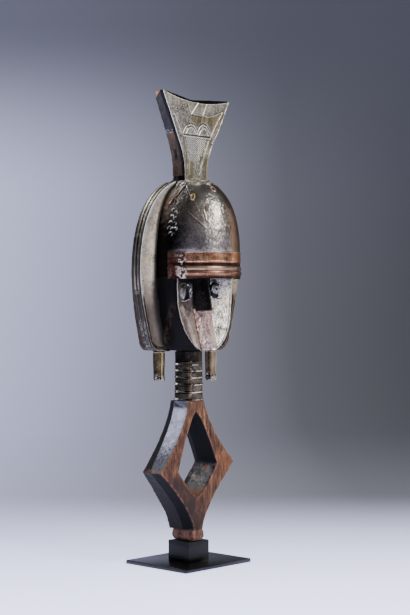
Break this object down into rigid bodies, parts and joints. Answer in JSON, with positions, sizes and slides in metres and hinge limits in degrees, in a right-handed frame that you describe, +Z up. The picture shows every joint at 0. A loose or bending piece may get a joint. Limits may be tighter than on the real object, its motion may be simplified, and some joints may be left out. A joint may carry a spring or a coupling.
{
  "type": "guardian figure",
  "caption": "Carved wooden guardian figure clad in copper and brass sheet, with a hollow face, an oval coiffure plate, a flared crest and an openwork lozenge base, on a black stand.",
  "frame": {"origin": "middle of the stand plate's underside, under the neck's axis", "axes": "+Z up along the neck, -Y the way the face looks, +X to the figure's own left"},
  "size_m": [0.177, 0.123, 0.585],
  "materials": {
    "black_stand": "gloss",
    "carved_wood": "worn, with a dark patina on the sides",
    "brass_strip": "tarnished",
    "dark_sheet": "dark patina",
    "copper_band": "worn polish",
    "pink_copper": "worn polish",
    "crest_brass": "stippled",
    "pale_sheet": "satin"
  },
  "bodies": {
    "root": {"stand_plate": "black_stand", "stand_block": "black_stand", "carved_figure": "carved_wood", "neck_winding": "brass_strip", "forehead_sheet": "dark_sheet", "brow_band": "copper_band", "mouth_strip": "pink_copper", "nose_sheet": "dark_sheet", "crest_sheet": "crest_brass", "forehead_staple_upper": "copper_band", "forehead_staple_middle": "brass_strip", "cheek_sheet_right": "pale_sheet", "coiffure_sheet_right": "pale_sheet", "edge_strip_upper_right": "brass_strip", "edge_strip_middle_right": "brass_strip", "edge_strip_lower_right": "brass_strip", "crest_edge_upper_right": "dark_sheet", "crest_edge_lower_right": "dark_sheet", "pendant_sleeve_right": "brass_strip", "eye_boss_right": "dark_sheet", "cheek_sheet_left": "pale_sheet", "coiffure_sheet_left": "pale_sheet", "edge_strip_upper_left": "brass_strip", "edge_strip_middle_left": "brass_strip", "edge_strip_lower_left": "brass_strip", "crest_edge_upper_left": "dark_sheet", "crest_edge_lower_left": "dark_sheet", "pendant_sleeve_left": "brass_strip", "eye_boss_left": "dark_sheet"}
  },
  "joints": []
}
